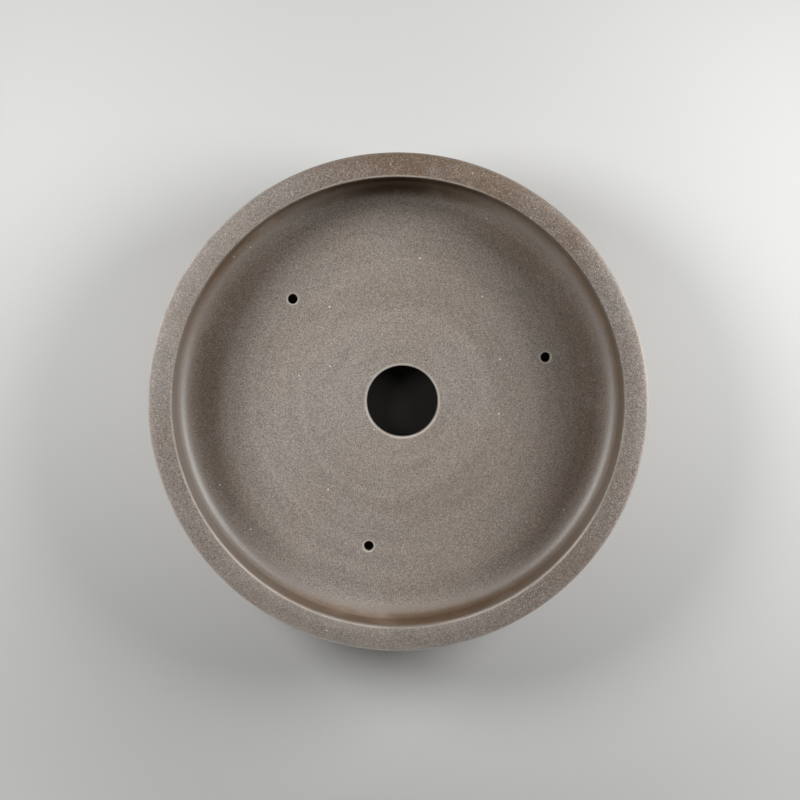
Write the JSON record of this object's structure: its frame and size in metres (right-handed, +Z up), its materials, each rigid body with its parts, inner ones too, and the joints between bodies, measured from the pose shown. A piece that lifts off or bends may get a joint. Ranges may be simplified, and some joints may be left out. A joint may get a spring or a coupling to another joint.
{
  "type": "flower pot",
  "caption": "Round shallow unglazed stoneware flower pot with a flat overhanging lip, a drain hole, tie-wire holes and low bracket feet.",
  "frame": {"origin": "on the ground under the middle of the pot, in the plane of the soles", "axes": "+Z up along the pot's axis, out of its mouth; the first tie-wire hole lies about 16 degrees from +X towards +Y"},
  "size_m": [0.35, 0.35, 0.084],
  "materials": {
    "floor_clay": "unglazed grey-brown stoneware with fine sand, rubbed smooth",
    "wall_clay": "unglazed grey-brown stoneware, burnished",
    "lip_clay": "unglazed grey-brown stoneware, flashed brown in patches",
    "foot_clay": "unglazed stoneware, dry and slightly worn on the soles"
  },
  "bodies": {
    "root": {"floor_slab": "floor_clay", "wall_ring": "wall_clay", "corner_coil": "floor_clay", "rim_lip": "lip_clay", "foot_1": "foot_clay", "foot_2": "foot_clay", "foot_3": "foot_clay"}
  },
  "joints": []
}
